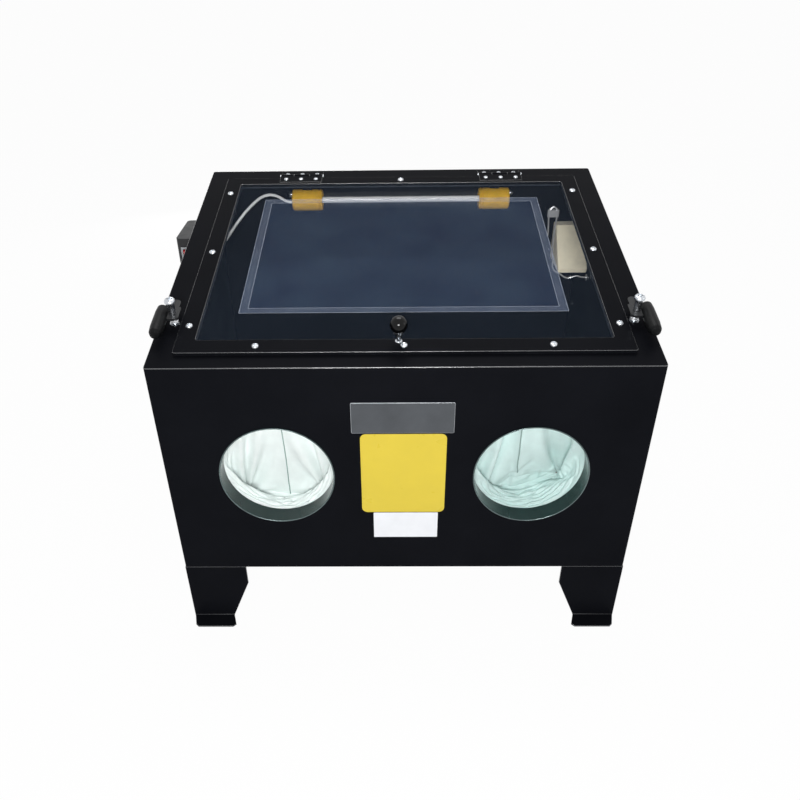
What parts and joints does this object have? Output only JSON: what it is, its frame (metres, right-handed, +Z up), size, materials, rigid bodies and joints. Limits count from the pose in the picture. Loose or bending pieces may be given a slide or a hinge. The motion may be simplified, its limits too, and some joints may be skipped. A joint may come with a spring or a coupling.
{
  "type": "sandblast cabinet",
  "caption": "Bench-top sandblast cabinet: black sheet-steel box with a sloping hinged window lid, swivel latches, glove ports, lamp, hopper with slide gate and a blast gun on its work grate.",
  "frame": {"origin": "on the floor under the middle of the whole object's box, which is the middle of the shell", "axes": "+Z up, -Y towards the front with the glove ports, +X to the right seen from the front"},
  "size_m": [0.65, 0.529, 0.4876],
  "materials": {
    "shell_paint": "satin black powder coat",
    "bare_steel": "plain rolled steel",
    "plated_steel": "bright zinc or nickel plate",
    "latch_paint": "satin dark grey paint",
    "grip_plastic": "moulded, half gloss",
    "window_glass": "clear, slightly tinted",
    "cover_glass": "clear",
    "lamp_white": "white, smooth",
    "holder_amber": "moulded amber",
    "lead_white": "soft sheath",
    "rubber_black": "matt",
    "glove_rubber": "matt, with a pale lining inside",
    "box_plastic": "fine-grained",
    "bezel_plastic": "light grey",
    "rocker_red": "translucent red",
    "brass": "turned",
    "filter_felt": "pressed felt",
    "film": "clear film",
    "cast_alloy": "die cast, tumbled",
    "nozzle_ceramic": "fired ceramic"
  },
  "bodies": {
    "cabinet": {"front_panel": "shell_paint", "rear_panel": "shell_paint", "left_side_panel": "shell_paint", "right_side_panel": "shell_paint", "top_flange": "shell_paint", "hopper": "shell_paint", "front_left_leg": "shell_paint", "front_right_leg": "shell_paint", "rear_left_leg": "shell_paint", "rear_right_leg": "shell_paint", "grate_ledges": "shell_paint", "left_glove_collar": "shell_paint", "right_glove_collar": "shell_paint", "lamp_hangers": "shell_paint", "dust_spigot": "shell_paint", "gate_rails": "bare_steel", "work_grate": "bare_steel", "glove_clamps": "bare_steel", "filter_clip": "bare_steel", "leg_bolts": "plated_steel", "leg_nuts": "plated_steel", "hinge_top_leaves": "plated_steel", "hinge_pins": "plated_steel", "hinge_top_screws": "plated_steel", "latch_studs": "plated_steel", "latch_springs": "plated_steel", "lamp_cover": "cover_glass", "lamp_tube": "lamp_white", "lamp_holders": "holder_amber", "lamp_lead": "lead_white", "lead_grommet": "rubber_black", "left_glove": "glove_rubber", "right_glove": "glove_rubber", "switch_box": "box_plastic", "power_inlet": "box_plastic", "switch_bezel": "bezel_plastic", "air_inlet": "brass", "air_inlet_nut": "brass", "exhaust_filter": "filter_felt"},
    "lid": {"lid_frame": "shell_paint", "window_pane": "window_glass", "window_retainer": "bare_steel", "lid_gasket": "rubber_black", "film_sheet": "film", "lid_screws": "plated_steel", "lid_knob": "grip_plastic", "knob_base": "plated_steel", "hinge_lid_leaves": "plated_steel", "hinge_lid_screws": "plated_steel"},
    "left_latch": {"left_latch_lever": "latch_paint", "left_latch_grip": "grip_plastic"},
    "right_latch": {"right_latch_lever": "latch_paint", "right_latch_grip": "grip_plastic"},
    "switch_rocker": {"switch_rocker": "rocker_red"},
    "drain_gate": {"drain_gate": "bare_steel"},
    "blast_gun": {"gun_body": "cast_alloy", "gun_nozzle": "nozzle_ceramic", "gun_nozzle_nut": "brass", "trigger_pin": "plated_steel"},
    "gun_trigger": {"gun_trigger": "cast_alloy"}
  },
  "joints": [
    {"name": "lid_hinge", "type": "hinge", "parent": "cabinet", "child": "lid", "pos_m": [0, 0.21424, 0.48441], "axis": [-1, 0, 0], "range_deg": [0, 95]},
    {"name": "left_latch_turn", "type": "hinge", "parent": "cabinet", "child": "left_latch", "pos_m": [-0.275, -0.16041, 0.42621], "axis": [0, 0.1795, -0.9838], "range_deg": [0, 90]},
    {"name": "right_latch_turn", "type": "hinge", "parent": "cabinet", "child": "right_latch", "pos_m": [0.275, -0.16041, 0.42621], "axis": [0, -0.1795, 0.9838], "range_deg": [0, 90]},
    {"name": "rocker_tilt", "type": "hinge", "parent": "cabinet", "child": "switch_rocker", "pos_m": [-0.31, 0.0785, 0.41], "axis": [-1, 0, 0], "range_deg": [0, 14]},
    {"name": "gate_slide", "type": "slide", "parent": "cabinet", "child": "drain_gate", "axis": [0, -1, 0], "range_m": [0, 0.095]},
    {"name": "gun_lift", "type": "slide", "parent": "cabinet", "child": "blast_gun", "axis": [0, 0, 1], "range_m": [0, 0.06]},
    {"name": "trigger_pull", "type": "hinge", "parent": "blast_gun", "child": "gun_trigger", "pos_m": [-0.026, 0.013, 0.1243], "axis": [0, 0, -1], "range_deg": [0, 16], "stiffness_Nm_per_rad": 0.4, "springref_deg": -11.46}
  ]
}
